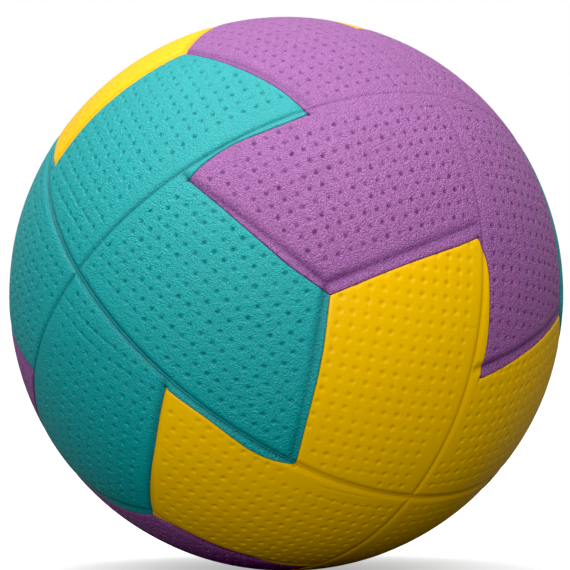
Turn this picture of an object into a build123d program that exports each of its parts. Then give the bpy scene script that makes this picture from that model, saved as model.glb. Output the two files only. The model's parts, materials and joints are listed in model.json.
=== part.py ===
from build123d import *
import os
from math import asin, cos, degrees, radians, sin

# Size 1 moulded handball: an inflated bladder wound with thread, covered by twenty-four bonded
# sheets of foamed rubber, with a self-sealing valve. The origin is the ball's centre, +Z is up.

# Ball and its layers
ball_diameter = 162.3
cover_thickness = 3.6
winding_thickness = 0.9
bladder_thickness = 1.2
bond_gap = 0.1  # glue line between one layer and the next
seam_gap = 0.1  # hairline between neighbouring sheets

# Five-sided outline of a sheet, as angles at the ball's centre
corner_angle = 30.6  # from a pole to the nearer corner on the line to the next pole
corner_offset_angle = 1.1  # how far that corner stands off the line
patch_half_angle = 45.0  # shell patch that the outline is cut from

# How the sheet pattern lies on the ball: turns about X, Y and Z
pattern_turn = (-35.2, -25.7, -143.4)

# Groove along every seam
groove_width = 2.6
groove_depth = 0.7

# Valve: a flanged rubber housing through all layers, and the plug that is pushed into it
plug_head_diameter = 7.0
plug_head_thickness = 2.0
plug_seat_width = 1.0
plug_stem_length = 12.0
plug_clearance = 0.15
plug_recess = 0.3
needle_diameter = 2.1
needle_lead_in = 0.6
needle_floor = 5.0  # rubber below the port, which the needle pierces
housing_wall = 1.4
housing_floor = 3.0
mouth_recess = 0.4
flange_width = 8.0
flange_thickness = 1.6
air_hole_diameter = 1.6

# Layer radii, from the outside in
ball_radius = ball_diameter / 2
cover_inner = ball_radius - cover_thickness
winding_outer = cover_inner - bond_gap
winding_inner = winding_outer - winding_thickness
bladder_outer = winding_inner - bond_gap
bladder_inner = bladder_outer - bladder_thickness
flange_outer = bladder_inner - bond_gap
flange_inner = flange_outer - flange_thickness

# Valve radii, from the plug outwards
head_radius = plug_head_diameter / 2
stem_radius = head_radius - plug_seat_width
neck_radius = head_radius + plug_clearance + housing_wall
neck_hole_radius = neck_radius + bond_gap
flange_radius = neck_radius + flange_width

centre = Vector(0, 0, 0)
quarter_turn = 90
colours = {
    "teal": (Vector(1, 0, 0), Vector(0, 0, -1)),
    "purple": (Vector(0, 1, 0), Vector(1, 0, 0)),
    "yellow": (Vector(0, 0, -1), Vector(0, 1, 0)),
}
valve_panel = "purple_panel_8"


def outline_corners(along, off):
    """Corners of one sheet about the pole +Z, counterclockwise from outside, as unit vectors."""
    near = cos(radians(along)) * cos(radians(off))
    far = sin(radians(along)) * cos(radians(off))
    side = sin(radians(off))
    return [
        Vector(0, 0, 1),
        Vector(far, -side, near),
        Vector(near, side, far),
        Vector(1, 1, 1).normalized(),
        Vector(side, far, near),
    ]


def panel_places(colour, pole, side):
    """Places of one colour's eight sheets: 1 to 4 round its pole, 5 to 8 round the opposite pole."""
    places = {}
    pattern = Location((0, 0, 0), pattern_turn)
    for end in (1, -1):
        pole_plane = Plane(origin=centre, x_dir=side * end, z_dir=pole * end)
        for quarter in range(4):
            spin = Location((0, 0, 0), (0, 0, quarter_turn * quarter))
            places[f"{colour}_panel_{len(places) + 1}"] = pattern * Location(pole_plane) * spin
    return places


corners = outline_corners(corner_angle, corner_offset_angle)
sheet_middle = sum(corners, Vector()).normalized()
sheet_places = {}
for colour, (pole, side) in colours.items():
    sheet_places.update(panel_places(colour, pole, side))
os.makedirs("parts", exist_ok=True)

# Valve axis, through the middle of its sheet
valve_direction = (sheet_places[valve_panel] * Location(sheet_middle)).position
valve_axis = Axis(centre, valve_direction)
valve_plane = Plane(origin=centre, z_dir=valve_direction)
valve_section = Plane(origin=centre, x_dir=valve_plane.x_dir, z_dir=-valve_plane.y_dir)

# Blank of a cover sheet: a patch of the cover shell, trimmed by planes through the ball's centre,
# with half a groove along each of its outer edges
patch_axis = Axis(centre, corners[0].cross(sheet_middle))
patch_start = sheet_middle.rotate(patch_axis, -patch_half_angle)
patch_plane = Plane(origin=centre, x_dir=patch_start, z_dir=patch_start.cross(patch_axis.direction))
with BuildPart() as blank:
    with BuildSketch(patch_plane):
        with BuildLine():
            outer_arc = CenterArc((0, 0), ball_radius, -patch_half_angle, 2 * patch_half_angle)
            inner_arc = CenterArc((0, 0), cover_inner, -patch_half_angle, 2 * patch_half_angle)
            Line(outer_arc @ 0, inner_arc @ 0)
            Line(outer_arc @ 1, inner_arc @ 1)
        make_face()
    revolve(axis=patch_axis, revolution_arc=2 * patch_half_angle)
    for corner, next_corner in zip(corners, corners[1:] + corners[:1]):
        inward = corner.cross(next_corner).normalized()
        split(bisect_by=Plane(origin=inward * (seam_gap / 2), z_dir=inward), keep=Keep.TOP)
    outside_face = blank.faces().sort_by(SortBy.AREA)[-1]
    chamfer(outside_face.edges(), groove_width / 2, groove_depth, reference=outside_face)

# Cover sheets, and the hole for the valve in one of them
for name, place in sheet_places.items():
    with BuildPart() as panel:
        with Locations(place):
            add(blank.part)
        if name == valve_panel:
            with BuildSketch(valve_plane):
                Circle(neck_hole_radius)
            extrude(amount=ball_radius, mode=Mode.SUBTRACT)
    panel.part.label = name
    export_step(panel.part, f"parts/{name}.step")

# Wound thread and bladder: round shells, open at the valve
shells = {
    "winding": (winding_outer, winding_inner),
    "bladder": (bladder_outer, bladder_inner),
}
for name, (outer_radius, inner_radius) in shells.items():
    outer_sweep = 180 - degrees(asin(neck_hole_radius / outer_radius))
    inner_sweep = 180 - degrees(asin(neck_hole_radius / inner_radius))
    with BuildPart() as shell:
        with BuildSketch(valve_section):
            with BuildLine():
                outside = CenterArc((0, 0), outer_radius, -90, outer_sweep)
                inside = CenterArc((0, 0), inner_radius, -90, inner_sweep)
                Line(outside @ 0, inside @ 0)
                Line(outside @ 1, inside @ 1)
            make_face()
        revolve(axis=valve_axis)
    shell.part.label = name
    export_step(shell.part, f"parts/{name}.step")

# Valve heights along its axis, from the ball's centre
mouth_height = ball_radius - mouth_recess
head_top = mouth_height - plug_recess
head_seat = head_top - plug_head_thickness
stem_end = head_seat - plug_stem_length
stem_floor = stem_end - plug_clearance
housing_end = stem_floor - housing_floor
port_floor = stem_end + needle_floor

# Valve housing: barrel with a dished flange against the inside of the bladder
flange_half_angle = degrees(asin(flange_radius / flange_outer))
with BuildPart() as valve_housing:
    with BuildSketch(valve_plane.offset(housing_end)):
        Circle(neck_radius)
    extrude(amount=mouth_height - housing_end)
    with BuildSketch(valve_section):
        with BuildLine():
            flange_top = CenterArc((0, 0), flange_outer, 90 - flange_half_angle, flange_half_angle)
            flange_bottom = CenterArc((0, 0), flange_inner, 90 - flange_half_angle, flange_half_angle)
            Line(flange_top @ 0, flange_bottom @ 0)
            Line(flange_top @ 1, flange_bottom @ 1)
        make_face()
    revolve(axis=valve_axis)
    with BuildSketch(valve_plane.offset(head_seat)):
        Circle(head_radius + plug_clearance)
    extrude(amount=mouth_height - head_seat, mode=Mode.SUBTRACT)
    with BuildSketch(valve_plane.offset(stem_floor)):
        Circle(stem_radius + plug_clearance)
    extrude(amount=head_seat - stem_floor, mode=Mode.SUBTRACT)
    with BuildSketch(valve_plane.offset(housing_end)):
        Circle(air_hole_diameter / 2)
    extrude(amount=stem_floor - housing_end, mode=Mode.SUBTRACT)
valve_housing.part.label = "valve_housing"
export_step(valve_housing.part, "parts/valve_housing.step")

# Valve plug: head on the housing's seat, stem down its bore, and the port that a needle enters
with BuildPart() as valve_plug:
    with BuildSketch(valve_plane.offset(head_seat)):
        Circle(head_radius)
    extrude(amount=plug_head_thickness)
    with BuildSketch(valve_plane.offset(stem_end)):
        Circle(stem_radius)
    extrude(amount=plug_stem_length)
    with BuildSketch(valve_plane.offset(port_floor)):
        Circle(needle_diameter / 2)
    extrude(amount=head_top - port_floor, mode=Mode.SUBTRACT)
    chamfer(valve_plug.faces().sort_by(valve_axis)[-1].inner_wires()[0].edges(), needle_lead_in)
valve_plug.part.label = "valve_plug"
export_step(valve_plug.part, "parts/valve_plug.step")
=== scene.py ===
import json
from math import cos, hypot, pi, radians, sin, sqrt

import bpy
import numpy as np
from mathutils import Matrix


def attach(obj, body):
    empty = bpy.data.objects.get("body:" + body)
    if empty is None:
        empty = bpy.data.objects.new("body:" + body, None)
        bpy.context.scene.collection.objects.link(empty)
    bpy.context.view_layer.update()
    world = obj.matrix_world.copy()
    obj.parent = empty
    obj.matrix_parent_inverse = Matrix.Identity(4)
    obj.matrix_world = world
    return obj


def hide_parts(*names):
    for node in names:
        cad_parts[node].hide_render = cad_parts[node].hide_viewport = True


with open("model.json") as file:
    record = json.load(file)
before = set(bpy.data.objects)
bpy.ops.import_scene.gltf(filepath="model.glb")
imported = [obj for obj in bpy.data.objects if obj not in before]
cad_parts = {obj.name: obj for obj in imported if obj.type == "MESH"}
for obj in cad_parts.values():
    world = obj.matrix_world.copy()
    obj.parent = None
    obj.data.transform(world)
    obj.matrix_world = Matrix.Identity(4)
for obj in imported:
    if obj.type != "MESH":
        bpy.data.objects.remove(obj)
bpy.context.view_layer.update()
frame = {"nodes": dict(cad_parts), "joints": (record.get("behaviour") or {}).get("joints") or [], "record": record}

# Moulded handball: twenty-four sheets of foamed rubber are laid by hand over a thread-wound bladder,
# then a mould presses grooves and dimples into them. The mould never lies quite true to the sheets, so
# its grooves run beside the colour seams. Shapes are worked out in millimetres about the ball's centre
# and put into metres as they become meshes.
MM = 0.001
mounts = {mount["name"]: mount for mount in frame["record"]["mounts"]}
plug_slide = frame["joints"][0]
random = np.random.default_rng(24)

# Ball and cover, as the solids have them
BALL_RADIUS = -mounts["floor_rest"]["pos_m"][2] / MM
COVER_THICKNESS = 3.6
COVER_INSIDE = BALL_RADIUS - COVER_THICKNESS
SEAM_GAP = 0.1
CORNER_ANGLE = radians(30.6)
CORNER_OFFSET_ANGLE = radians(1.1)
SHEET_TURN = (-35.2, -25.7, -143.4)

# The photograph's view: a level camera, and the ball's outline in its picture
FRAME_PX = 570
OUTLINE_RADIUS_PX = 277.2
OUTLINE_MIDDLE_PX = (286.23, 293.87)
CAMERA_DISTANCE = 16.35 * BALL_RADIUS
FOCAL_PX = OUTLINE_RADIUS_PX * sqrt((CAMERA_DISTANCE / BALL_RADIUS) ** 2 - 1)
PIXEL = CAMERA_DISTANCE / FOCAL_PX
CAMERA_PLACE = np.array((
    (FRAME_PX / 2 - OUTLINE_MIDDLE_PX[0]) * PIXEL,
    -CAMERA_DISTANCE,
    (OUTLINE_MIDDLE_PX[1] - FRAME_PX / 2) * PIXEL,
))

# Where the sheets were laid off the pattern: corners of panels, then places on their sides, and the pixels
# of both in the photograph
SEEN_CORNERS = {
    ("purple_panel_1", 1): (308.6, 113.8),
    ("purple_panel_1", 2): (187.5, 179.2),
    ("purple_panel_1", 3): (330.2, 295.3),
    ("purple_panel_1", 4): (478.6, 237.5),
    ("yellow_panel_1", 1): (480.4, 379.3),
    ("yellow_panel_1", 4): (295.1, 466.5),
    ("teal_panel_1", 1): (164.9, 388.5),
    ("teal_panel_2", 3): (184.5, 52.7),
    ("teal_panel_2", 4): (52.7, 168.2),
    ("teal_panel_4", 1): (32.4, 372.3),
    ("teal_panel_4", 3): (151.8, 515.0),
}
SEEN_SEAMS = {
    ("purple_panel_1", 1): ((210.0, 158.5),),
    ("purple_panel_1", 2): ((250.0, 232.0), (297.0, 271.5)),
    ("purple_panel_1", 3): ((392.0, 270.0),),
    ("purple_panel_2", 1): ((486.5, 257.0), (490.5, 285.0), (490.0, 320.0)),
    ("yellow_panel_1", 3): ((325.5, 335.0), (314.0, 394.0)),
    ("yellow_panel_2", 1): ((264.1, 458.0), (221.4, 430.4), (194.0, 410.3)),
    ("yellow_panel_2", 3): ((201.0, 540.0), (234.0, 553.0)),
    ("teal_panel_2", 2): ((293.0, 99.0),),
    ("teal_panel_4", 2): ((134.0, 513.0),),
}
LAY_REACH = 16.0  # how far a seen place shifts the sheets about it

# The hand-cut edges wander a little, and are rolled over where they meet, most of all at the corners
SEAM_WANDER = 0.22
SEAM_WANDER_LENGTHS = (16, 27, 44)
EDGE_ROLL_WIDTH = 0.6
EDGE_ROLL_DROP = 0.22
EDGE_ROLL_LINES = (0.25,)
ONE_COLOUR_ROLL = 0.1  # sheets of one colour all but merge where they meet
ONE_COLOUR_GAP = 0.03
SIDE_ROLL = np.array((ONE_COLOUR_ROLL, 1, 1, 1, ONE_COLOUR_ROLL))
SIDE_GAP = np.array((ONE_COLOUR_GAP, SEAM_GAP, SEAM_GAP, SEAM_GAP, ONE_COLOUR_GAP))
PINHOLE_CORNERS = (1, 2, 4)
PINHOLE_RADIUS = 0.5
PINHOLE_DEPTH = 0.55

# The mould: how it lay on the ball, its grooves, and the flash where its halves meet
MOULD_TURN = (-37.8, -25.9, -144.1)
CIRCLE_SHOULDER = 0.95
CIRCLE_DEPTH = 0.34
PARTING_SHOULDER = 1.2
PARTING_DEPTH = 0.5
BRANCH_SHOULDER = 1.4
BRANCH_DEPTH = 0.5
BRANCH_SHORT = 1.6
GROOVE_SLIT = 0.32
GROOVE_SLIT_DEPTH = 0.26
BRANCH_SLIT_DEPTH = 0.1
PARTING_SLIT = 0.8
PARTING_SLIT_DEPTH = 0.42
LIGHT_PRESS_REACH = 50.0
LIGHT_PRESS = 0.38  # share of a groove's depth near the purple poles, where the mould pressed less
GROOVE_UNEVENNESS = 0.25
GROOVE_LINES = (-0.7, -0.3, 0.0, 0.3, 0.7)
FLASH_WIDTH = 0.26
FLASH_HEIGHT = 0.42
FLASH_LINES = (-0.45, -0.15, 0.15, 0.45)
SWELL_HEIGHT = 0.05
SWELL_LENGTHS = (21, 34, 55)

# Dimples: rows and columns over each field of the mould, a little turned, clear of its grooves
DIMPLE_STEPS = (3.9, 4.01)  # along a row, and from row to row
DIMPLE_TURN = radians(2.4)
DIMPLE_RADIUS = 1.05
DIMPLE_DEPTH = 0.5
DIMPLE_SPREAD = 0.08
DIMPLE_DEPTH_SPREAD = 0.16
DIMPLE_DEPTH_LIMITS = (0.4, 1.5)
DIMPLE_FIRST_STEP = (-14, -10)
DIMPLE_COUNTS = (29, 23)
DIMPLE_CLEARANCE = 2.8
DIMPLE_LONG_SIDE_CLEARANCE = 4.2
DIMPLE_LINES = 6
LAND_LINES = 4
CREASE_DEPTH = 0.2
CREASE_WIDTH = 0.3
CREASE_PATCHES = (9, 17, 29)
CREASE_PATCH_GAIN = 3.0
CREASE_PATCH_LEVEL = 1.9
CREASE_BESIDE = 3.6
CREASE_FROM_PARTING = 6.5
CREASE_PARTING_REACH = 4.5
CREASE_FROM_POLE = 22.0
CREASE_POLE_REACH = 15.0
FIELD_AIM = (0.445, 0.246, 0.861)
FIELD_MIDDLE = np.array(FIELD_AIM) / sqrt(sum(part**2 for part in FIELD_AIM))
FIELD_EAST = np.cross((0, 1, 0), FIELD_MIDDLE) / hypot(FIELD_MIDDLE[0], FIELD_MIDDLE[2])
FIELD_NORTH = np.cross(FIELD_MIDDLE, FIELD_EAST)
DIMPLE_SHIFT = {
    "teal_panel_1": (-0.15, 0.72),
    "teal_panel_2": (0.22, -0.82),
    "purple_panel_1": (0.42, -0.23),
    "yellow_panel_1": (-0.25, 1.21),
}

# How each colour's rubber takes the mould: the depth of its dimples, their radius, and the depth of its
# slits, as shares of the mould's own
MOULD_TAKE = {"teal": (1.0, 0.95, 1.0), "purple": (1.0, 0.95, 1.0), "yellow": (0.54, 1.15, 0.4)}

# Valve, as the solids have it: its radii, and its heights along its axis
VALVE_PANEL = "purple_panel_8"
VALVE_AXIS = np.array(plug_slide["axis"])
VALVE_EAST = np.cross((0, 0, 1), VALVE_AXIS) / hypot(VALVE_AXIS[0], VALVE_AXIS[1])
VALVE_NORTH = np.cross(VALVE_AXIS, VALVE_EAST)
VALVE_HOLE_RADIUS = 5.15
VALVE_LAND = 8.5  # no dimple is pressed this near the valve's axis
NECK_RADIUS = 5.05
FLANGE_OUTSIDE = 75.15
FLANGE_INSIDE = 73.55
FLANGE_RADIUS = 13.05
FLANGE_MIDDLE = 9.0
HEAD_RADIUS = 3.5
STEM_RADIUS = 2.5
PLUG_CLEARANCE = 0.15
PORT_RADIUS = 1.05
PORT_LEAD_IN = 0.6
AIR_HOLE_RADIUS = 0.8
MOUTH_RECESS = 0.4
PLUG_RECESS = 0.3
HEAD_THICKNESS = 2.0
STEM_LENGTH = 12.0
HOUSING_FLOOR = 3.0
NEEDLE_FLOOR = 5.0
MOUTH_HEIGHT = BALL_RADIUS - MOUTH_RECESS
HEAD_TOP = MOUTH_HEIGHT - PLUG_RECESS
HEAD_SEAT = HEAD_TOP - HEAD_THICKNESS
STEM_END = HEAD_SEAT - STEM_LENGTH
STEM_FLOOR = STEM_END - PLUG_CLEARANCE
HOUSING_END = STEM_FLOOR - HOUSING_FLOOR
PORT_FLOOR = STEM_END + NEEDLE_FLOOR

# Rounded edges of the valve: how far from its corner each rounding starts
TIGHT_CORNER = 0.05
ROOT_ROUNDING = 0.1
SEAT_ROUNDING = 0.15
NECK_ROUNDING = 0.2
LIP_ROUNDING = 0.25
BORE_ROUNDING = 0.3
RIM_ROUNDING = 0.4
END_ROUNDING = 0.5
BARREL_ROUNDING = 0.6
FLANGE_FILLET = 0.8
FLANGE_BEND = 1.5
ROUNDING_STEPS = 7
LATHE_LINES = 96

# Nets: the inside of a sheet has a coarser one than the outside
INSIDE_STEP = 4.0
SNAP = 0.02  # a point this near a cut counts as on it
SAME_POINT = 0.0002  # points of a profile nearer than this are one
HOLE_SIDE = 5  # the valve's hole counts as one more side
SHARP_ANGLE = radians(60)

# Pole and first side of each colour in the pattern, and the first panel at either end of its axis
COLOURS = {
    "teal": ((1, 0, 0), (0, 0, -1)),
    "purple": ((0, 1, 0), (1, 0, 0)),
    "yellow": ((0, 0, -1), (0, 1, 0)),
}
FIRST_PANELS = {1: 1, -1: 5}
QUARTERS = 4
PARTING_AXIS = np.array((0, 1, 0))  # the halves of the mould meet in the plane across it

# Grain and clouds of the rubber, counted along a metre
COVER_GRAIN = 1900.0
SMOOTH_GRAIN = 3000.0
SMOOTH_GRAIN_DEPTH = 0.01
CELL_HEIGHT = 0.9
FINE_GRAIN = 1.7  # like the flecks', counted to one cell
FLECK_GRAIN = 1.5
FLECK_ROUGHNESS = 0.6
FLECK_RANGE = (0.42, 0.58)
BROAD_CLOUDS = 38.0
CLOSE_CLOUDS = 210.0
CLOSE_CLOUD_SHARE = 0.6
CLOUD_RANGE = (0.55, 1.05)
NOISE_DETAIL = 2.0
CLOSE_CLOUD_DETAIL = 3.0

# Cover: each colour's dye, dark tone (of the dark flecks and of the painted shade), pale tone, depth of grain,
# share of dark flecks and gloss
COVER_DYES = {
    "teal": ((0.0, 0.386, 0.397), (0.0, 0.15, 0.17), (0.005, 0.45, 0.46), 0.32, 0.4, 0.47),
    "purple": ((0.41, 0.136, 0.414), (0.11, 0.018, 0.14), (0.46, 0.185, 0.46), 0.4, 0.58, 0.46),
    "yellow": ((0.89, 0.51, 0.0), (0.6, 0.32, 0.0), (0.94, 0.58, 0.0), 0.03, 0.18, 0.24),
}
PALE_CLOUDS = 0.16
COVER_ROUGHNESS = (0.46, 0.36)  # on the dark flecks, and between them
DIMPLE_ROUGHNESS = 0.2  # more than that, at a dimple's bottom

# Painted shade: the cover is made darker in the grooves and dimples, where shade falls, and along its rolled
# edges; the press at which that starts and is full, and its share
PAINTED_SHADE_AND_EDGE_DARKENING = {"groove": (0.1, 1.5, 0.8), "dimple": (0.1, 1.0, 0.7), "edge": (0.1, 1.0, 0.8)}

# Smooth rubbers: colour, dusty bloom and roughness
VALVE_RUBBER = ((0.03, 0.03, 0.032), (0.085, 0.083, 0.08), 0.38)
PLUG_RUBBER = ((0.4, 0.375, 0.325), (0.5, 0.48, 0.44), 0.45)
BLADDER_RUBBER = ((0.025, 0.025, 0.027), (0.1, 0.098, 0.095), 0.42)
BLOOM_IN_GRAIN = 0.3
BLOOM_ROUGHNESS = 0.2

# Wound thread: how each layer is turned, and its patches and bands along a metre
THREAD_COLOUR = (0.8, 0.76, 0.66)
LATEX_COLOUR = (0.5, 0.42, 0.28)
THREAD_TURNS = ((10, 35, 0), (75, 20, 40), (40, 100, 15), (120, 60, 80))
THREAD_PATCHES = (60.0, 71.0, 82.0, 93.0)
THREAD_PATCH_RANGE = (0.4, 0.6)
THREAD_BANDS = 600.0
THREAD_STRAY = 0.6
THREAD_DETAIL = 1.0
THREAD_HEIGHT = 0.15
WINDING_ROUGHNESS = (0.45, 0.75)  # of the latex, and of the thread

# Floor and its glow in sight, in metres from the ball's middle; the glow is dimmed near the ball as a painted
# shadow where it rests
FLOOR_REACH = 12.0
FLOOR_BOUNCE = 0.125  # its tone as it lights the ball
FLOOR_SEEN = 0.5  # its tone to the camera
FLOOR_ROUGHNESS = 0.9
# glow beside the ball, dimmed there as painted shadow, rising to full glow further out
FLOOR_GLOW = 0.44
FLOOR_GLOW_NEAR = 0.082
FLOOR_GLOW_FAR = 0.15

# Camera, picture and light: each soft box has its place and side in metres and its power in watts
SENSOR = 36.0
CAMERA_REACH = 100
BLACK_LEVEL = 0.008
WHITE = (1, 1, 1, 1)
WORLD_GLOW = 0.35
SOFT_BOXES = {
    "front_box": ((-0.2, -1.1, 0.15), 0.4, 5.9),
    "left_box": ((-0.5, -0.6, 0.85), 0.7, 4.1),
    "right_box": ((0.5, -0.5, 0.85), 0.7, 3.15),
    "top_box": ((-0.1, 0.0, 0.95), 0.6, 6.9),
    "ceiling_box": ((0.0, -0.2, 0.9), 2.0, 4.4),
}


def unit(vectors):
    """Vectors divided by their lengths."""
    vectors = np.asarray(vectors, float)
    return vectors / np.linalg.norm(vectors, axis=-1, keepdims=True)


def turned(angles):
    """Turn about X, then the new Y, then the new Z, in degrees, as one matrix: X times Y times Z."""
    (cx, cy, cz), (sx, sy, sz) = np.cos(np.radians(angles)), np.sin(np.radians(angles))
    about_x = np.array(((1, 0, 0), (0, cx, -sx), (0, sx, cx)))
    about_y = np.array(((cy, 0, sy), (0, 1, 0), (-sy, 0, cy)))
    about_z = np.array(((cz, -sz, 0), (sz, cz, 0), (0, 0, 1)))
    return about_x @ about_y @ about_z


def panel_turns():
    """Turn of each panel in the pattern: by quarters about its colour's pole, then the opposite pole."""
    turns = {}
    for colour, (pole, side) in COLOURS.items():
        for end, first in FIRST_PANELS.items():
            z_axis, x_axis = end * np.array(pole), end * np.array(side)
            pole_turn = np.column_stack((x_axis, np.cross(z_axis, x_axis), z_axis))
            for quarter in range(QUARTERS):
                spin = turned((0, 0, quarter * 360 / QUARTERS))
                turns[f"{colour}_panel_{first + quarter}"] = pole_turn @ spin
    return turns


def waves(lengths, count):
    """Smooth noise on the ball, count values a point: the mean of one sine for each wavelength, along a
    random direction."""
    directions = unit(random.normal(size=(len(lengths), count, 3)))
    phases = random.uniform(0, 2 * pi, (len(lengths), count))
    waves_per_turn = 2 * pi * BALL_RADIUS / np.array(lengths)[:, None]

    def at(points):
        total = np.zeros((len(points), count))
        for direction, phase, rate in zip(directions, phases, waves_per_turn):
            total += np.sin(points @ direction.T * rate + phase)
        return total / len(lengths)

    return at


seam_wander = waves(SEAM_WANDER_LENGTHS, 3)
ball_swell = waves(SWELL_LENGTHS, 1)
groove_wander = waves(SEAM_WANDER_LENGTHS, 1)
crease_patches = waves(CREASE_PATCHES, 2)


# Outline of a sheet and of a mould field about the pole +Z, counterclockwise from outside
def sheet_corners():
    """Five corners of a sheet, each an angle from the pole and an angle off the line to the next pole."""
    near = cos(CORNER_ANGLE) * cos(CORNER_OFFSET_ANGLE)
    far = sin(CORNER_ANGLE) * cos(CORNER_OFFSET_ANGLE)
    side = sin(CORNER_OFFSET_ANGLE)
    return unit(((0, 0, 1), (far, -side, near), (near, side, far), (1, 1, 1), (side, far, near)))


def inward_normals(corners):
    """Normals of the planes through the ball's centre and each pair of neighbouring corners."""
    return unit(np.cross(corners, np.roll(corners, -1, axis=0)))


POLE, FIELD_TIP, FIELD_CORNER, FIELD_END = unit(((0, 0, 1), (sqrt(3), 0, 1), (1, 1, 1), (0, 1, sqrt(3))))
FIELD_SIDES = inward_normals(np.array((POLE, FIELD_TIP, FIELD_CORNER, FIELD_END)))
GROOVE_BRANCHES = (
    (FIELD_CORNER, FIELD_TIP),
    (FIELD_CORNER, FIELD_END),
    (FIELD_CORNER, unit((1, sqrt(3), 0))),
    (unit((1, -1, 1)), unit((1, 0, sqrt(3)))),
)
GROOVE_CIRCLES = np.array(((1, 0, 0), (0, 1, 0)))


def field_direction(flat):
    """Unit directions of a field's flat points: each keeps its arc length and bearing from the middle."""
    arc = np.hypot(flat[:, 0], flat[:, 1]) / BALL_RADIUS
    shrink = np.sinc(arc / pi)[:, None] / BALL_RADIUS
    sideways = flat[:, :1] * FIELD_EAST + flat[:, 1:] * FIELD_NORTH
    return np.cos(arc)[:, None] * FIELD_MIDDLE + shrink * sideways


def field_flat(directions):
    """Flat points of unit directions: the inverse of field_direction."""
    arc = np.arccos(np.clip(directions @ FIELD_MIDDLE, -1, 1))
    stretch = BALL_RADIUS / np.sinc(arc / pi)
    return np.column_stack((directions @ FIELD_EAST, directions @ FIELD_NORTH)) * stretch[:, None]


def arc_offset(points, start, end, short=0.0):
    """Signed distance of unit points from the great circle through start and end, and distance past its
    start or past the point that lies a length short of its end."""
    normal = unit(np.cross(start, end))
    across = BALL_RADIUS * np.arcsin(np.clip(points @ normal, -1, 1))
    past_start = -BALL_RADIUS * (points @ np.cross(normal, start))
    past_end = BALL_RADIUS * (points @ np.cross(normal, end)) + short
    return across, np.maximum(past_start, past_end)


def bell(distances, reach, middle=0.0):
    """Bell of distances about a middle: the exponential of minus the square of their share of its reach."""
    return np.exp(-(((distances - middle) / reach) ** 2))


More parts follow.
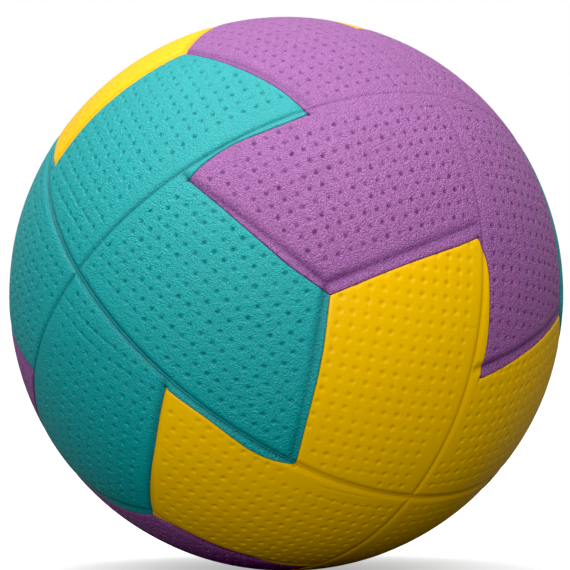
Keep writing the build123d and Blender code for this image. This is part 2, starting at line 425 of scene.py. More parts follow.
class MouldField:
    """One field of the mould: its grooves and its grid of dimples, in the field's own directions."""

    def __init__(self, name, turn):
        self.shift = np.array(DIMPLE_SHIFT.get(name, (0.0, 0.0)))
        self.dimple_take, self.radius_take, self.slit_take = MOULD_TAKE[name.split("_")[0]]
        self.parting = np.isclose(np.abs(turn.T @ PARTING_AXIS)[:2], 1)
        steps = np.indices(DIMPLE_COUNTS).reshape(2, -1).T + DIMPLE_FIRST_STEP
        middles = field_direction(self.flat_of_steps(steps))
        clear = BALL_RADIUS * np.arcsin(middles @ FIELD_SIDES.T)
        wanted = np.array((DIMPLE_LONG_SIDE_CLEARANCE,) + (DIMPLE_CLEARANCE,) * 3)
        present = (clear > wanted).all(axis=1)
        depth = present * random.normal(1, DIMPLE_DEPTH_SPREAD, len(steps)).clip(*DIMPLE_DEPTH_LIMITS)
        self.depths = depth.reshape(DIMPLE_COUNTS)
        self.wander = random.normal(0, DIMPLE_SPREAD, DIMPLE_COUNTS + (2,))

    def flat_of_steps(self, steps):
        """Flat points of grid steps: step times spacing, shifted, then turned."""
        along, across = (steps * DIMPLE_STEPS + self.shift).T
        c, s = cos(DIMPLE_TURN), sin(DIMPLE_TURN)
        return np.column_stack((c * along - s * across, s * along + c * across))

    def steps_of_flat(self, flat):
        """Grid steps of flat points: the inverse of flat_of_steps."""
        c, s = cos(DIMPLE_TURN), sin(DIMPLE_TURN)
        turned_back = np.column_stack((c * flat[:, 0] + s * flat[:, 1], c * flat[:, 1] - s * flat[:, 0]))
        return (turned_back - self.shift) / DIMPLE_STEPS

    def dimple_depth(self, flat):
        """Depth of the dimples: a bowl, (1 - r squared) squared, about the nearest grid point."""
        steps = self.steps_of_flat(flat)
        nearest = np.rint(steps).astype(int)
        i, j = (nearest - DIMPLE_FIRST_STEP).clip(0, np.array(DIMPLE_COUNTS) - 1).T
        away = (steps - nearest) * DIMPLE_STEPS - self.wander[i, j]
        bowl = (1 - (away**2).sum(axis=1) / (DIMPLE_RADIUS * self.radius_take) ** 2).clip(0) ** 2
        return DIMPLE_DEPTH * self.dimple_take * self.depths[i, j] * bowl

    def crease_depth(self, flat, points, directions):
        """Depth of the creases that join dimples along rows and columns: a narrow bell about each grid line,
        in patches of noise, and more of them beside the parting line, near the poles on it."""
        steps = self.steps_of_flat(flat)
        away = (steps - np.rint(steps)) * DIMPLE_STEPS
        from_circles = BALL_RADIUS * np.arcsin(np.abs(points @ GROOVE_CIRCLES.T))
        from_pole = BALL_RADIUS * np.arccos(points[:, 2:].clip(-1, 1))
        beside = self.parting * bell(from_circles, CREASE_PARTING_REACH, CREASE_FROM_PARTING)
        beside = beside * bell(from_pole, CREASE_POLE_REACH, CREASE_FROM_POLE)
        patches = CREASE_PATCH_GAIN * crease_patches(directions) - CREASE_PATCH_LEVEL + CREASE_BESIDE * beside
        creases = patches.clip(0, 1) * bell(away, CREASE_WIDTH)
        return CREASE_DEPTH * self.dimple_take * creases.max(axis=1)

    def groove_depth(self, points):
        """Depth of the grooves: the deepest of their bells, and a slit in the middle of each, less a ridge of
        flash along the parting line. The mould's circles are narrow, and the branches between them broad."""
        hollow, slit, flash = np.zeros((3, len(points)))
        for normal, parting in zip(GROOVE_CIRCLES, self.parting):
            across = BALL_RADIUS * np.arcsin(points @ normal)
            if parting:
                hollow = np.maximum(hollow, PARTING_DEPTH * bell(across, PARTING_SHOULDER))
                slit = np.maximum(slit, PARTING_SLIT_DEPTH * bell(across, PARTING_SLIT))
                flash += FLASH_HEIGHT * bell(across, FLASH_WIDTH)
            else:
                hollow = np.maximum(hollow, CIRCLE_DEPTH * bell(across, CIRCLE_SHOULDER))
                slit = np.maximum(slit, GROOVE_SLIT_DEPTH * bell(across, GROOVE_SLIT))
        for start, end in GROOVE_BRANCHES:
            across, past = arc_offset(points, start, end, BRANCH_SHORT)
            away = np.hypot(across, past.clip(0))
            hollow = np.maximum(hollow, BRANCH_DEPTH * bell(away, BRANCH_SHOULDER))
            slit = np.maximum(slit, BRANCH_SLIT_DEPTH * bell(away, GROOVE_SLIT))
        return hollow + self.slit_take * (slit - flash)


# Nets of triangles over flat points, cut along lines
def grid(lines_along, lines_across):
    """Grid of every line along with every line across, and its two triangles a cell, counterclockwise."""
    along, across = np.meshgrid(lines_along, lines_across, indexing="ij")
    ids = np.arange(along.size).reshape(along.shape)
    a, b, c, d = (part.ravel() for part in (ids[:-1, :-1], ids[1:, :-1], ids[1:, 1:], ids[:-1, 1:]))
    triangles = np.concatenate((np.column_stack((a, b, c)), np.column_stack((a, c, d))))
    return np.column_stack((along.ravel(), across.ravel())), triangles


class Net:
    """Flat points and triangles of one face of a sheet. Each point also has its measures, which are distances
    that the net can be cut by, and marks of the sides that it lies on, as bits."""

    def __init__(self, flat, triangles, measures):
        self.flat = flat
        self.triangles = triangles
        self.measures = measures
        self.sides = np.zeros(len(flat), int)

    def cut(self, values, side=None):
        """Splits the triangles along the line where values, one for each point, pass through zero.
        A crossed edge gets a point by proportion, and a point close to the line counts as on it. With a side,
        what lies below zero is dropped and the points on the line are marked as that side's."""
        mark = 0 if side is None else 1 << side
        snap = SNAP if side is None else np.where(self.sides == 0, SNAP, 0.0)
        signs = np.where(np.abs(values) < snap, 0, np.sign(values)).astype(np.int8)
        corner_signs = signs[self.triangles.T]
        crossed = (corner_signs.min(axis=0) < 0) & (corner_signs.max(axis=0) > 0)
        split, split_signs = self.triangles[crossed], corner_signs.T[crossed]
        touching = (split_signs == 0).any(axis=1)
        lone_sign = -np.sign(split_signs.sum(axis=1))
        leader = np.where(touching[:, None], split_signs == 0, split_signs == lone_sign[:, None])
        first = np.argmax(leader, axis=1)
        rows = np.arange(len(split))
        a, b, c = (split[rows, (first + turn) % 3] for turn in range(3))
        # A touching triangle is crossed opposite its first corner, the others on both edges from it
        at, bt, ct = a[touching], b[touching], c[touching]
        ao, bo, co = a[~touching], b[~touching], c[~touching]
        ends = np.sort(np.column_stack((np.concatenate((bt, ao, ao)), np.concatenate((ct, bo, co)))), axis=1)
        edges, edge_ids = np.unique(ends, axis=0, return_inverse=True)
        low, high = edges.T
        opposite, on_b, on_c = np.split(len(self.flat) + edge_ids.ravel(), (len(at), len(at) + len(ao)))
        share = (values[low] / (values[low] - values[high]))[:, None]
        self.sides[signs == 0] |= mark
        self.sides = np.append(self.sides, (self.sides[low] & self.sides[high]) | mark)
        for name in ("flat", "measures"):
            old = getattr(self, name)
            setattr(self, name, np.concatenate((old, old[low] * (1 - share) + old[high] * share)))
        pieces = ((at, bt, opposite), (at, opposite, ct), (ao, on_b, on_c), (on_b, bo, co), (on_b, co, on_c))
        triangles = [self.triangles[~crossed]] + [np.column_stack(piece) for piece in pieces]
        self.triangles = np.concatenate(triangles)
        if side is not None:
            signs = np.append(signs, np.zeros(len(edges), np.int8))
            self.triangles = self.triangles[signs[self.triangles].max(axis=1) > 0]
            self.drop_unused()

    def drop_unused(self):
        """Drops the points that no triangle uses."""
        used, triangles = np.unique(self.triangles, return_inverse=True)
        self.triangles = triangles.reshape(-1, 3)
        self.flat, self.measures, self.sides = self.flat[used], self.measures[used], self.sides[used]


def wall(outer, outer_place, inner, inner_place):
    """Strip of triangles between two rows of points, each sorted by its place along the wall. Every step
    along either row, taken in order of place, makes one triangle with the other row's last point."""
    middles = [(place[1:] + place[:-1]) / 2 for place in (outer_place, inner_place)]
    order = np.argsort(np.concatenate(middles), kind="stable")
    on_outer = order < len(middles[0])
    i, j = np.cumsum(on_outer), np.cumsum(~on_outer)
    outer_steps = np.column_stack((outer[i], outer[i - 1], inner[j]))[on_outer]
    inner_steps = np.column_stack((inner[j - 1], inner[j], outer[i]))[~on_outer]
    return np.concatenate((outer_steps, inner_steps))


SHEET_CORNERS = sheet_corners()
SHEET_SIDES = inward_normals(SHEET_CORNERS)
sheet_lie = turned(SHEET_TURN)
mould_lie = turned(MOULD_TURN)
LIGHT_POLE = mould_lie @ COLOURS["purple"][0]


def seen_direction(pixel):
    """Unit direction of the ball under a pixel of the photograph: where its line of sight first meets it."""
    sight = unit((pixel[0] - FRAME_PX / 2, FOCAL_PX, FRAME_PX / 2 - pixel[1]))
    nearest = -sight @ CAMERA_PLACE
    depth = sqrt(nearest**2 - CAMERA_PLACE @ CAMERA_PLACE + BALL_RADIUS**2)
    return unit(CAMERA_PLACE + (nearest - depth) * sight)


class Lay:
    """How the sheets were laid: Gaussian humps of shift about the seen places, weighted so that a seen corner
    falls on its corner of the pattern and a seen seam on the nearest point of its side, and the small wander
    of the hand-cut edges."""

    def __init__(self):
        turns = {name: sheet_lie @ turn for name, turn in panel_turns().items()}
        seen = [seen_direction(pixel) for pixel in SEEN_CORNERS.values()]
        pattern = [turns[name] @ SHEET_CORNERS[corner] for name, corner in SEEN_CORNERS]
        for (name, side), pixels in SEEN_SEAMS.items():
            normal = turns[name] @ SHEET_SIDES[side]
            for pixel in pixels:
                place = seen_direction(pixel)
                seen.append(place)
                pattern.append(unit(place - (place @ normal) * normal))
        self.seen = np.array(seen)
        wanted = BALL_RADIUS * (np.array(pattern) - self.seen) - SEAM_WANDER * seam_wander(self.seen)
        self.weights = np.linalg.solve(self.humps(self.seen), wanted)

    def humps(self, directions):
        """Height of each seen place's hump: a bell of the straight distance from it."""
        return np.exp((directions @ self.seen.T - 1) * 2 * (BALL_RADIUS / LAY_REACH) ** 2)

    def __call__(self, directions):
        """Places in the pattern that lie at these directions of the ball."""
        shift = self.humps(directions) @ self.weights + SEAM_WANDER * seam_wander(directions)
        return BALL_RADIUS * directions + shift


laid = Lay()


class Panel:
    """One cover sheet: its outline lies as the sheets were laid, its surface as the mould pressed it."""

    def __init__(self, name, turn):
        self.name = name
        self.field_turn = mould_lie @ turn
        self.side_normals = SHEET_SIDES @ (sheet_lie @ turn).T
        self.corners = SHEET_CORNERS @ (sheet_lie @ turn).T
        self.field = MouldField(name, turn)
        self.cut_sides = range(HOLE_SIDE + (name == VALVE_PANEL))

    def directions(self, flat):
        """Unit directions of flat points on the ball."""
        return field_direction(flat) @ self.field_turn.T

    def edge_distances(self, places):
        """Distance inside each side, for places in the pattern."""
        return places @ self.side_normals.T - SIDE_GAP / 2

    def edge_roll(self, places):
        """Drop of the outside along the edges: a parabola over the roll's width, with a bell about each
        corner where three sheets meet."""
        roll = (SIDE_ROLL * (1 - self.edge_distances(places) / EDGE_ROLL_WIDTH).clip(0) ** 2).max(axis=1)
        away = np.min([np.linalg.norm(places - BALL_RADIUS * self.corners[corner], axis=1)
                       for corner in PINHOLE_CORNERS], axis=0)
        return EDGE_ROLL_DROP * roll + PINHOLE_DEPTH * bell(away, PINHOLE_RADIUS)

    def valve_distance(self, directions):
        """Distance from the valve's hole."""
        return BALL_RADIUS * np.linalg.norm(np.cross(directions, VALVE_AXIS), axis=1) - VALVE_HOLE_RADIUS

    def measures(self, flat):
        """Distances that nets are cut by: inside each side, from the valve's hole, and across each groove.
        A point past the ends of a branch is put so far from it that no cut reaches it."""
        directions, field_directions = self.directions(flat), field_direction(flat)
        columns = [*self.edge_distances(laid(directions)).T, self.valve_distance(directions)]
        columns += list(BALL_RADIUS * (field_directions @ GROOVE_CIRCLES.T).T)
        for start, end in GROOVE_BRANCHES:
            across, past = arc_offset(field_directions, start, end)
            columns.append(np.where(past < BRANCH_SHOULDER, across, BALL_RADIUS))
        return np.column_stack(columns)

    def trimmed(self, flat, triangles):
        """Net cut to the sheet's outline and, on the valve's panel, round its hole."""
        net = Net(flat, triangles, self.measures(flat))
        for side in self.cut_sides:
            net.cut(net.measures[:, side], side)
        return net

    def outside(self):
        """Net with lines close together across the dimples, cut along the rolled edges and the grooves."""
        reach = self.field.steps_of_flat(field_flat(self.corners @ self.field_turn))
        low, high = np.floor(reach.min(axis=0)) - 1, np.ceil(reach.max(axis=0)) + 1
        lines = []
        for axis, spacing in enumerate(DIMPLE_STEPS):
            rim = DIMPLE_RADIUS / spacing
            fine = np.linspace(-rim, rim, DIMPLE_LINES, endpoint=False)
            land = np.linspace(rim, 1 - rim, LAND_LINES, endpoint=False)
            cells = np.arange(low[axis], high[axis] + 1)
            lines.append((cells[:, None] + np.concatenate((fine, land))).ravel())
        steps, triangles = grid(*lines)
        net = self.trimmed(self.field.flat_of_steps(steps), triangles)
        for side in self.cut_sides:
            for inset in EDGE_ROLL_LINES:
                net.cut(net.measures[:, side] - inset)
        for groove in range(HOLE_SIDE + 1, net.measures.shape[1]):
            circle = groove - HOLE_SIDE - 1
            parting = circle < len(GROOVE_CIRCLES) and self.field.parting[circle]
            for line in GROOVE_LINES + (FLASH_LINES if parting else ()):
                net.cut(net.measures[:, groove] - line)
        return net

    def inside(self):
        """Coarse net over the same outline."""
        reach = field_flat(self.corners @ self.field_turn)
        low, high = reach.min(axis=0) - INSIDE_STEP, reach.max(axis=0) + INSIDE_STEP
        return self.trimmed(*grid(*(np.arange(a, b, INSIDE_STEP) for a, b in zip(low, high))))

    def height(self, flat):
        """Height of the outside over the ball's radius: swell, less grooves, dimples and the rolled edge.
        Also how far the grooves, the dimples and the edge press each point, as shares of a full press."""
        directions = self.directions(flat)
        field_directions = field_direction(flat)
        uneven = 1 + GROOVE_UNEVENNESS * groove_wander(directions)[:, 0]
        groove = self.field.groove_depth(field_directions) * uneven
        from_pole = BALL_RADIUS * np.arccos(np.abs(directions @ LIGHT_POLE).clip(-1, 1))
        groove *= 1 - (1 - LIGHT_PRESS) * np.exp(-((from_pole / LIGHT_PRESS_REACH) ** 4))
        crease = self.field.crease_depth(flat, field_directions, directions)
        dimple = np.maximum(self.field.dimple_depth(flat), crease)
        roll = self.edge_roll(laid(directions))
        if self.name == VALVE_PANEL:
            hole = self.valve_distance(directions)
            dimple *= np.clip((hole + VALVE_HOLE_RADIUS - VALVE_LAND) / DIMPLE_RADIUS, 0, 1)
            roll = np.maximum(roll, EDGE_ROLL_DROP * (1 - hole / EDGE_ROLL_WIDTH).clip(0) ** 2)
        swell = SWELL_HEIGHT * (ball_swell(directions)[:, 0] - 1)
        pressed = np.column_stack((groove / BRANCH_DEPTH, dimple / DIMPLE_DEPTH, roll / EDGE_ROLL_DROP))
        return swell - groove - dimple - roll, pressed

    def build(self):
        """Closed sheet: outside, inside turned over, and a wall along every side, in millimetres."""
        outside, inside = self.outside(), self.inside()
        height, pressed = self.height(outside.flat)
        outer_directions, inner_directions = self.directions(outside.flat), self.directions(inside.flat)
        points = np.concatenate((outer_directions * (BALL_RADIUS + height)[:, None],
                                 inner_directions * COVER_INSIDE))
        faces = [outside.triangles, inside.triangles[:, ::-1] + len(outside.flat)]
        for side, along in enumerate(np.roll(self.corners, -1, axis=0) - self.corners):
            places = outer_directions @ along, inner_directions @ along
            faces.append(self.side_wall(outside, inside, 1 << side, *places))
        if self.name == VALVE_PANEL:
            faces.append(self.hole_wall(outside, inside, outer_directions, inner_directions))
        pressed = np.concatenate((pressed, np.zeros((len(inside.flat), pressed.shape[1]))))
        return points, np.concatenate(faces), pressed

    def side_wall(self, outside, inside, mark, outer_place, inner_place):
        """Wall along one side, from corner to corner."""
        outer = np.flatnonzero(outside.sides & mark)
        inner = np.flatnonzero(inside.sides & mark)
        outer = outer[np.argsort(outer_place[outer])]
        inner = inner[np.argsort(inner_place[inner])]
        return wall(outer, outer_place[outer], inner + len(outside.flat), inner_place[inner])

    def hole_wall(self, outside, inside, outer_directions, inner_directions):
        """Wall round the valve's hole, by angle about its axis, backwards, as the hole's edge runs."""
        rows = []
        nets = (outside, outer_directions, 0), (inside, inner_directions, len(outside.flat))
        for net, directions, start in nets:
            ids = np.flatnonzero(net.sides & (1 << HOLE_SIDE))
            angle = -np.arctan2(directions[ids] @ VALVE_NORTH, directions[ids] @ VALVE_EAST)
            order = np.argsort(angle)
            rows += [np.append(ids[order], ids[order[0]]) + start,
                     np.append(angle[order], angle[order[0]] + 2 * pi)]
        return wall(*rows)


# Valve pieces: profiles turned about the valve's axis
def on_sphere(sphere_radius, radius):
    """Height along the valve's axis of a sphere about the ball's centre, at a distance from the axis."""
    return sqrt(sphere_radius**2 - radius**2)


def rounded_profile(corners):
    """Line through corners, each a radius, a height and a rounding: a corner becomes a parabola that
    starts and ends its rounding's length from it, and one with no rounding stays a point."""
    points = np.array([corner[:2] for corner in corners])
    rounding = np.array([corner[2] for corner in corners])[:, None]
    start = points + rounding * unit(np.roll(points, 1, axis=0) - points)
    end = points + rounding * unit(np.roll(points, -1, axis=0) - points)
    share = np.linspace(0, 1, ROUNDING_STEPS)[:, None, None]
    curves = (1 - share) ** 2 * start + 2 * share * (1 - share) * points + share**2 * end
    line = curves.transpose(1, 0, 2).reshape(-1, 2)
    moved = np.linalg.norm(line - np.roll(line, 1, axis=0), axis=1)
    return line[moved > SAME_POINT]


def housing_profile():
    """Valve housing: a barrel with a dished flange, bored for the plug and the air. A closed line."""
    seat_bore, stem_bore = HEAD_RADIUS + PLUG_CLEARANCE, STEM_RADIUS + PLUG_CLEARANCE
    flange_edge = FLANGE_RADIUS * FLANGE_INSIDE / FLANGE_OUTSIDE
    return rounded_profile((
        (NECK_RADIUS, MOUTH_HEIGHT, RIM_ROUNDING),
        (NECK_RADIUS, on_sphere(FLANGE_OUTSIDE, NECK_RADIUS), TIGHT_CORNER),
        (FLANGE_MIDDLE, on_sphere(FLANGE_OUTSIDE, FLANGE_MIDDLE), FLANGE_BEND),
        (FLANGE_RADIUS, on_sphere(FLANGE_OUTSIDE, FLANGE_RADIUS), END_ROUNDING),
        (flange_edge, on_sphere(FLANGE_INSIDE, flange_edge), END_ROUNDING),
        (FLANGE_MIDDLE, on_sphere(FLANGE_INSIDE, FLANGE_MIDDLE), FLANGE_BEND),
        (NECK_RADIUS, on_sphere(FLANGE_INSIDE, NECK_RADIUS), FLANGE_FILLET),
        (NECK_RADIUS, HOUSING_END, BARREL_ROUNDING),
        (AIR_HOLE_RADIUS, HOUSING_END, LIP_ROUNDING),
        (AIR_HOLE_RADIUS, STEM_FLOOR, NECK_ROUNDING),
        (stem_bore, STEM_FLOOR, TIGHT_CORNER),
        (stem_bore, HEAD_SEAT, SEAT_ROUNDING),
        (seat_bore, HEAD_SEAT, TIGHT_CORNER),
        (seat_bore, MOUTH_HEIGHT, BORE_ROUNDING),
    ))


def plug_profile():
    """Valve plug: the needle's port, the head and the stem. An open line from axis to axis."""
    return rounded_profile((
        (0, PORT_FLOOR, 0),
        (PORT_RADIUS, PORT_FLOOR, BORE_ROUNDING),
        (PORT_RADIUS, HEAD_TOP - PORT_LEAD_IN, NECK_ROUNDING),
        (PORT_RADIUS + PORT_LEAD_IN, HEAD_TOP, LIP_ROUNDING),
        (HEAD_RADIUS, HEAD_TOP, RIM_ROUNDING),
        (HEAD_RADIUS, HEAD_SEAT, NECK_ROUNDING),
        (STEM_RADIUS, HEAD_SEAT, ROOT_ROUNDING),
        (STEM_RADIUS, STEM_END, END_ROUNDING),
        (0, STEM_END, 0),
    ))


def lathe(profile):
    """Profile turned about the valve's axis: radius times the way out, plus height times the axis.
    A line that starts and ends on the axis is closed there by one point, and any other joins end to start."""
    angle = np.linspace(0, 2 * pi, LATHE_LINES, endpoint=False)[:, None]
    way_out = np.cos(angle) * VALVE_EAST + np.sin(angle) * VALVE_NORTH
    radius, height = profile.T[:, :, None, None]
    points = (radius * way_out + height * VALVE_AXIS).reshape(-1, 3)
    ids = np.arange(len(points)).reshape(len(profile), LATHE_LINES)
    if profile[0, 0] == 0:
        ids[[0, -1]] = ids[[0, -1], :1]
    else:
        ids = np.vstack((ids, ids[:1]))
    a, b = ids[:-1], ids[1:]
    c, d = np.roll(b, -1, axis=1), np.roll(a, -1, axis=1)
    triangles = np.concatenate([np.dstack(corners).reshape(-1, 3) for corners in ((a, b, c), (a, c, d))])
    first, second, third = triangles.T
    triangles = triangles[(first != second) & (second != third) & (third != first)]
    used, triangles = np.unique(triangles, return_inverse=True)
    return points[used], triangles.reshape(-1, 3)


def add_object(name, data):
    """Object with its data, put in the scene."""
    added = bpy.data.objects.new(name, data)
    bpy.context.scene.collection.objects.link(added)
    return added


def put_in_scene(name, points, triangles):
    """Mesh object of points in millimetres and triangles, smooth but for its sharp edges."""
    mesh = bpy.data.meshes.new(name)
    mesh.vertices.add(len(points))
    mesh.vertices.foreach_set("co", (points * MM).astype(np.float32).ravel())
    mesh.loops.add(triangles.size)
    mesh.loops.foreach_set("vertex_index", triangles.astype(np.int32).ravel())
    mesh.polygons.add(len(triangles))
    mesh.polygons.foreach_set("loop_start", np.arange(0, triangles.size, 3, dtype=np.int32))
    mesh.update(calc_edges=True)
    mesh.validate()
    mesh.polygons.foreach_set("use_smooth", np.ones(len(mesh.polygons), bool))
    mesh.set_sharp_from_angle(angle=SHARP_ANGLE)
    return add_object(name, mesh)


# Materials: nodes, and the groups that several of them share
def add_node(tree, kind, inputs=(), **settings):
    """Adds a node, sets its settings, and sets or links its inputs by name or number."""
    node = tree.nodes.new(kind)
    for name, value in settings.items():
        setattr(node, name, value)
    for key, value in dict(inputs).items():
        if isinstance(value, bpy.types.NodeSocket):
            tree.links.new(value, node.inputs[key])
        else:
            node.inputs[key].default_value = value
    return node


def math_node(tree, operation, *values):
    """Output of a Math node on up to three values or sockets."""
    return add_node(tree, "ShaderNodeMath", dict(enumerate(values)), operation=operation).outputs[0]


def ranged(tree, value, given=(0.0, 1.0), made=(0.0, 1.0)):
    """Output of a clamped Map Range node: the range given becomes the range made."""
    inputs = dict(enumerate((value, *given, *made)))
    return add_node(tree, "ShaderNodeMapRange", inputs).outputs["Result"]


def noise(tree, point, rate, **inputs):
    """Output of a Noise node at a point, with its rate along a metre and any other inputs by name."""
    return add_node(tree, "ShaderNodeTexNoise", {"Vector": point, "Scale": rate, **inputs}).outputs["Fac"]


def mixed(tree, share, first, second):
    """Output of a colour Mix node: first where share is 0, second where it is 1."""
    return add_node(tree, "ShaderNodeMix", {0: share, 6: first, 7: second}, data_type="RGBA").outputs[2]


def bumped(tree, shader, height, depth):
    """Gives a shader the relief of a height, with its depth in millimetres."""
    inputs = {"Height": height, "Strength": 1.0, "Distance": depth * MM}
    bump = add_node(tree, "ShaderNodeBump", inputs)
    tree.links.new(bump.outputs["Normal"], shader["Normal"])


def new_group(name, inputs, outputs):
    """Empty node group with named sockets, and its input and output nodes."""
    group = bpy.data.node_groups.new(name, "ShaderNodeTree")
    for way, sockets in (("INPUT", inputs), ("OUTPUT", outputs)):
        for socket, kind in sockets.items():
            group.interface.new_socket(socket, in_out=way, socket_type=kind)
    return group, group.nodes.new("NodeGroupInput").outputs, group.nodes.new("NodeGroupOutput").inputs


def use_group(tree, group, **inputs):
    """Outputs of a group placed in a material, its inputs given by name with underlines for spaces."""
    named = {name.replace("_", " "): value for name, value in inputs.items()}
    return add_node(tree, "ShaderNodeGroup", named, node_tree=group).outputs


def grain_group():
    """Fine leathery grain: small cells broken up by noise, as a height and as light and dark flecks."""
    group, given, made = new_group(
        "rubber_grain",
        {"Point": "NodeSocketVector", "Cells per metre": "NodeSocketFloat"},
        {"Height": "NodeSocketFloat", "Fleck": "NodeSocketFloat"},
    )
    point, rate = given["Point"], given["Cells per metre"]
    cells = add_node(group, "ShaderNodeTexVoronoi", {"Vector": point, "Scale": rate}, feature="SMOOTH_F1")
    fine = noise(group, point, math_node(group, "MULTIPLY", rate, FINE_GRAIN), Detail=NOISE_DETAIL)
    height = math_node(group, "MULTIPLY_ADD", cells.outputs["Distance"], CELL_HEIGHT, fine)
    group.links.new(height, made["Height"])
    fleck_rate = math_node(group, "MULTIPLY", rate, FLECK_GRAIN)
    flecks = noise(group, point, fleck_rate, Detail=NOISE_DETAIL, Roughness=FLECK_ROUGHNESS)
    group.links.new(ranged(group, flecks, FLECK_RANGE), made["Fleck"])
    return group


def mottle_group():
    """Cloudy unevenness of a dyed sheet: broad and middling noise added together."""
    group, given, made = new_group(
        "sheet_mottle", {"Point": "NodeSocketVector"}, {"Cloud": "NodeSocketFloat"})
    broad = noise(group, given["Point"], BROAD_CLOUDS, Detail=NOISE_DETAIL)
    close = noise(group, given["Point"], CLOSE_CLOUDS, Detail=CLOSE_CLOUD_DETAIL)
    total = math_node(group, "MULTIPLY_ADD", close, CLOSE_CLOUD_SHARE, broad)
    group.links.new(ranged(group, total, CLOUD_RANGE), made["Cloud"])
    return group


def pressed_group():
    """Where the sheet is pressed, for its painted shade and edge darkening: its grooves, its dimples and its edge,
    from the piece's own attributes.
    """
    group, _, made = new_group("mould_press", {}, {mark: "NodeSocketFloat" for mark in PAINTED_SHADE_AND_EDGE_DARKENING})
    for mark in PAINTED_SHADE_AND_EDGE_DARKENING:
        read = add_node(group, "ShaderNodeAttribute", attribute_name=mark)
        group.links.new(read.outputs["Fac"], made[mark])
    return group


RUBBER_GRAIN, SHEET_MOTTLE, MOULD_PRESS = grain_group(), mottle_group(), pressed_group()


def new_material(name):
    """Material with its node tree, its shader's inputs and the object's coordinates."""
    material = bpy.data.materials.new(name)
    material.use_nodes = True
    tree = material.node_tree
    point = add_node(tree, "ShaderNodeTexCoord").outputs["Object"]
    return material, tree, tree.nodes["Principled BSDF"].inputs, point


def cover_material(name, colour, dark, pale, grain_depth, fleck_share, gloss):
    """Foamed rubber sheet: mottled colour, with painted shade in its grooves and dimples and darker along its
    rolled edges, and a fine leathery grain.
    """
    material, tree, shader, point = new_material(name)
    grain = use_group(tree, RUBBER_GRAIN, Point=point, Cells_per_metre=COVER_GRAIN)
    cloud = use_group(tree, SHEET_MOTTLE, Point=point)["Cloud"]
    press = use_group(tree, MOULD_PRESS)
    base = mixed(tree, ranged(tree, cloud, made=(0.0, PALE_CLOUDS)), (*colour, 1), (*pale, 1))
    base = mixed(tree, ranged(tree, grain["Fleck"], made=(fleck_share, 0.0)), base, (*dark, 1))
    # Painted shade: the base turns towards the dark tone in the grooves and dimples, where shade falls, and along
    # the rolled edges
    for mark, (start, full, share) in PAINTED_SHADE_AND_EDGE_DARKENING.items():
        base = mixed(tree, ranged(tree, press[mark], (start, full), (0.0, share)), base, (*dark, 1))
    tree.links.new(base, shader["Base Color"])
    worn = ranged(tree, grain["Fleck"], made=COVER_ROUGHNESS)
    rough = math_node(tree, "MULTIPLY_ADD", press["dimple"], DIMPLE_ROUGHNESS, worn)
    tree.links.new(rough, shader["Roughness"])
    shader["Specular IOR Level"].default_value = gloss
    bumped(tree, shader, grain["Height"], grain_depth)
    return material


def smooth_rubber_material(name, colour, bloom, roughness):
    """Moulded rubber of the valve and bladder: dark rubber with a dusty bloom in clouds and a faint grain."""
    material, tree, shader, point = new_material(name)
    grain = use_group(tree, RUBBER_GRAIN, Point=point, Cells_per_metre=SMOOTH_GRAIN)
    cloud = use_group(tree, SHEET_MOTTLE, Point=point)["Cloud"]
    dusty = math_node(tree, "MULTIPLY", cloud, ranged(tree, grain["Fleck"], made=(BLOOM_IN_GRAIN, 1.0)))
    tree.links.new(mixed(tree, dusty, (*colour, 1), (*bloom, 1)), shader["Base Color"])
    rough = ranged(tree, dusty, made=(roughness, roughness + BLOOM_ROUGHNESS))
    tree.links.new(rough, shader["Roughness"])
    bumped(tree, shader, grain["Height"], SMOOTH_GRAIN_DEPTH)
    return material


def winding_material(name, thread_colour, latex_colour):
    """Wound thread: bands of thread in several directions, the topmost in sight, with latex between them."""
    material, tree, shader, point = new_material(name)
    top = 0.0
    for turn, patches in zip(THREAD_TURNS, THREAD_PATCHES):
        rotation = [radians(angle) for angle in turn]
        lay = add_node(tree, "ShaderNodeMapping", {"Vector": point, "Rotation": rotation}).outputs["Vector"]
        bands = {"Vector": lay, "Scale": THREAD_BANDS, "Distortion": THREAD_STRAY, "Detail": THREAD_DETAIL}
        thread = add_node(tree, "ShaderNodeTexWave", bands).outputs["Fac"]
        shown = ranged(tree, noise(tree, lay, patches), THREAD_PATCH_RANGE)
        top = math_node(tree, "MAXIMUM", top, math_node(tree, "MULTIPLY", thread, shown))
    tree.links.new(mixed(tree, top, (*latex_colour, 1), (*thread_colour, 1)), shader["Base Color"])
    tree.links.new(ranged(tree, top, made=WINDING_ROUGHNESS), shader["Roughness"])
    bumped(tree, shader, top, THREAD_HEIGHT)
    return material


# Cover sheets
cover_materials = {colour: cover_material(f"{colour}_cover", *dyes) for colour, dyes in COVER_DYES.items()}
for name, turn in panel_turns().items():
    colour = name.split("_")[0]
    points, triangles, pressed = Panel(name, turn).build()
    piece = put_in_scene(name + "_sheet", points, triangles)
    for mark, values in zip(PAINTED_SHADE_AND_EDGE_DARKENING, pressed.T):
        piece.data.attributes.new(mark, "FLOAT", "POINT").data.foreach_set("value", values.astype(np.float32))
    piece.data.materials.append(cover_materials[colour])
    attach(piece, "ball")
    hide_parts(name)

# Valve: the housing stays with the ball, and the plug slides out of it
valve_pieces = (
    ("valve_housing", housing_profile(), "ball", "valve_rubber", VALVE_RUBBER),
    ("valve_plug", plug_profile(), "plug", "plug_rubber", PLUG_RUBBER),
)
for name, profile, body, slot, finish in valve_pieces:
    piece = put_in_scene(name + "_turned", *lathe(profile))
    piece.data.materials.append(smooth_rubber_material(slot, *finish))
    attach(piece, body)
    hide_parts(name)

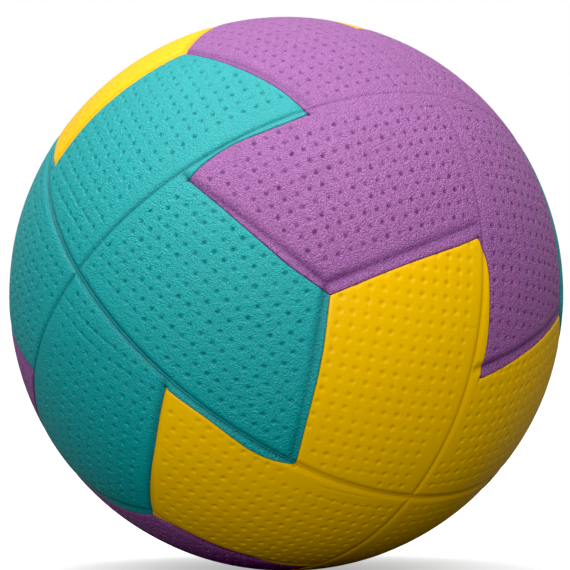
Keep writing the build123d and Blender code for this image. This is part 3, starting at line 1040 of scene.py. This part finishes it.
# Wound thread and bladder: their solids have the right shape and get their finish
inner_finishes = {
    "winding": winding_material("thread_winding", THREAD_COLOUR, LATEX_COLOUR),
    "bladder": smooth_rubber_material("bladder_rubber", *BLADDER_RUBBER),
}
for name, finish in inner_finishes.items():
    for material_slot in frame["nodes"][name].material_slots:
        material_slot.material = finish

# Floor: a pale table that takes the ball's shadow, with painted shadow where its glow dims near the ball
floor_mesh = bpy.data.meshes.new("floor")
floor_ends = ((-1, -1), (1, -1), (1, 1), (-1, 1))
floor_corners = [(x * FLOOR_REACH, y * FLOOR_REACH, -BALL_RADIUS * MM) for x, y in floor_ends]
floor_mesh.from_pydata(floor_corners, [], [(0, 1, 2, 3)])
floor = add_object("floor", floor_mesh)
floor_material, tree, shader, point = new_material("floor")
in_sight = add_node(tree, "ShaderNodeLightPath").outputs["Is Camera Ray"]
tree.links.new(ranged(tree, in_sight, made=(FLOOR_BOUNCE, FLOOR_SEEN)), shader["Base Color"])
shader["Roughness"].default_value = FLOOR_ROUGHNESS
shader["Specular IOR Level"].default_value = 0.0
shader["Emission Color"].default_value = WHITE
away = add_node(tree, "ShaderNodeVectorMath", {0: point}, operation="LENGTH").outputs["Value"]
# Painted shadow: the floor's glow in sight is dimmer close to the ball, darkening the floor round where it rests
floor_glow_and_painted_shadow = ranged(tree, away, (FLOOR_GLOW_NEAR, FLOOR_GLOW_FAR), (FLOOR_GLOW, 1.0))
tree.links.new(math_node(tree, "MULTIPLY", in_sight, floor_glow_and_painted_shadow), shader["Emission Strength"])
floor_mesh.materials.append(floor_material)

# Camera: level, at the photograph's distance
camera_data = bpy.data.cameras.new("camera")
camera_data.sensor_width = SENSOR
camera_data.lens = SENSOR * FOCAL_PX / FRAME_PX
camera_data.clip_end = CAMERA_REACH
camera = add_object("camera", camera_data)
camera.location = CAMERA_PLACE * MM
camera.rotation_euler = (pi / 2, 0, 0)
bpy.context.scene.camera = camera

# Light: five soft boxes and an even glow, on white
world = bpy.data.worlds.new("studio")
world.use_nodes = True
bpy.context.scene.world = world
tree = world.node_tree
glow = tree.nodes["Background"].inputs
glow["Color"].default_value = WHITE
in_sight = add_node(tree, "ShaderNodeLightPath").outputs["Is Camera Ray"]
tree.links.new(ranged(tree, in_sight, made=(WORLD_GLOW, 1.0)), glow["Strength"])
for name, (place, size, power) in SOFT_BOXES.items():
    soft_box = bpy.data.lights.new(name, "AREA")
    soft_box.shape = "SQUARE"
    soft_box.size = size
    soft_box.energy = power
    light = add_object(name, soft_box)
    light.location = place
    light.rotation_euler = (-light.location).to_track_quat("-Z", "Y").to_euler()
    light.visible_camera = False

# Picture: plain tones, with a little taken off the darkest
view = bpy.context.scene.view_settings
view.view_transform = "Standard"
view.use_curve_mapping = True
view.curve_mapping.black_level = (BLACK_LEVEL,) * 3
view.curve_mapping.update()
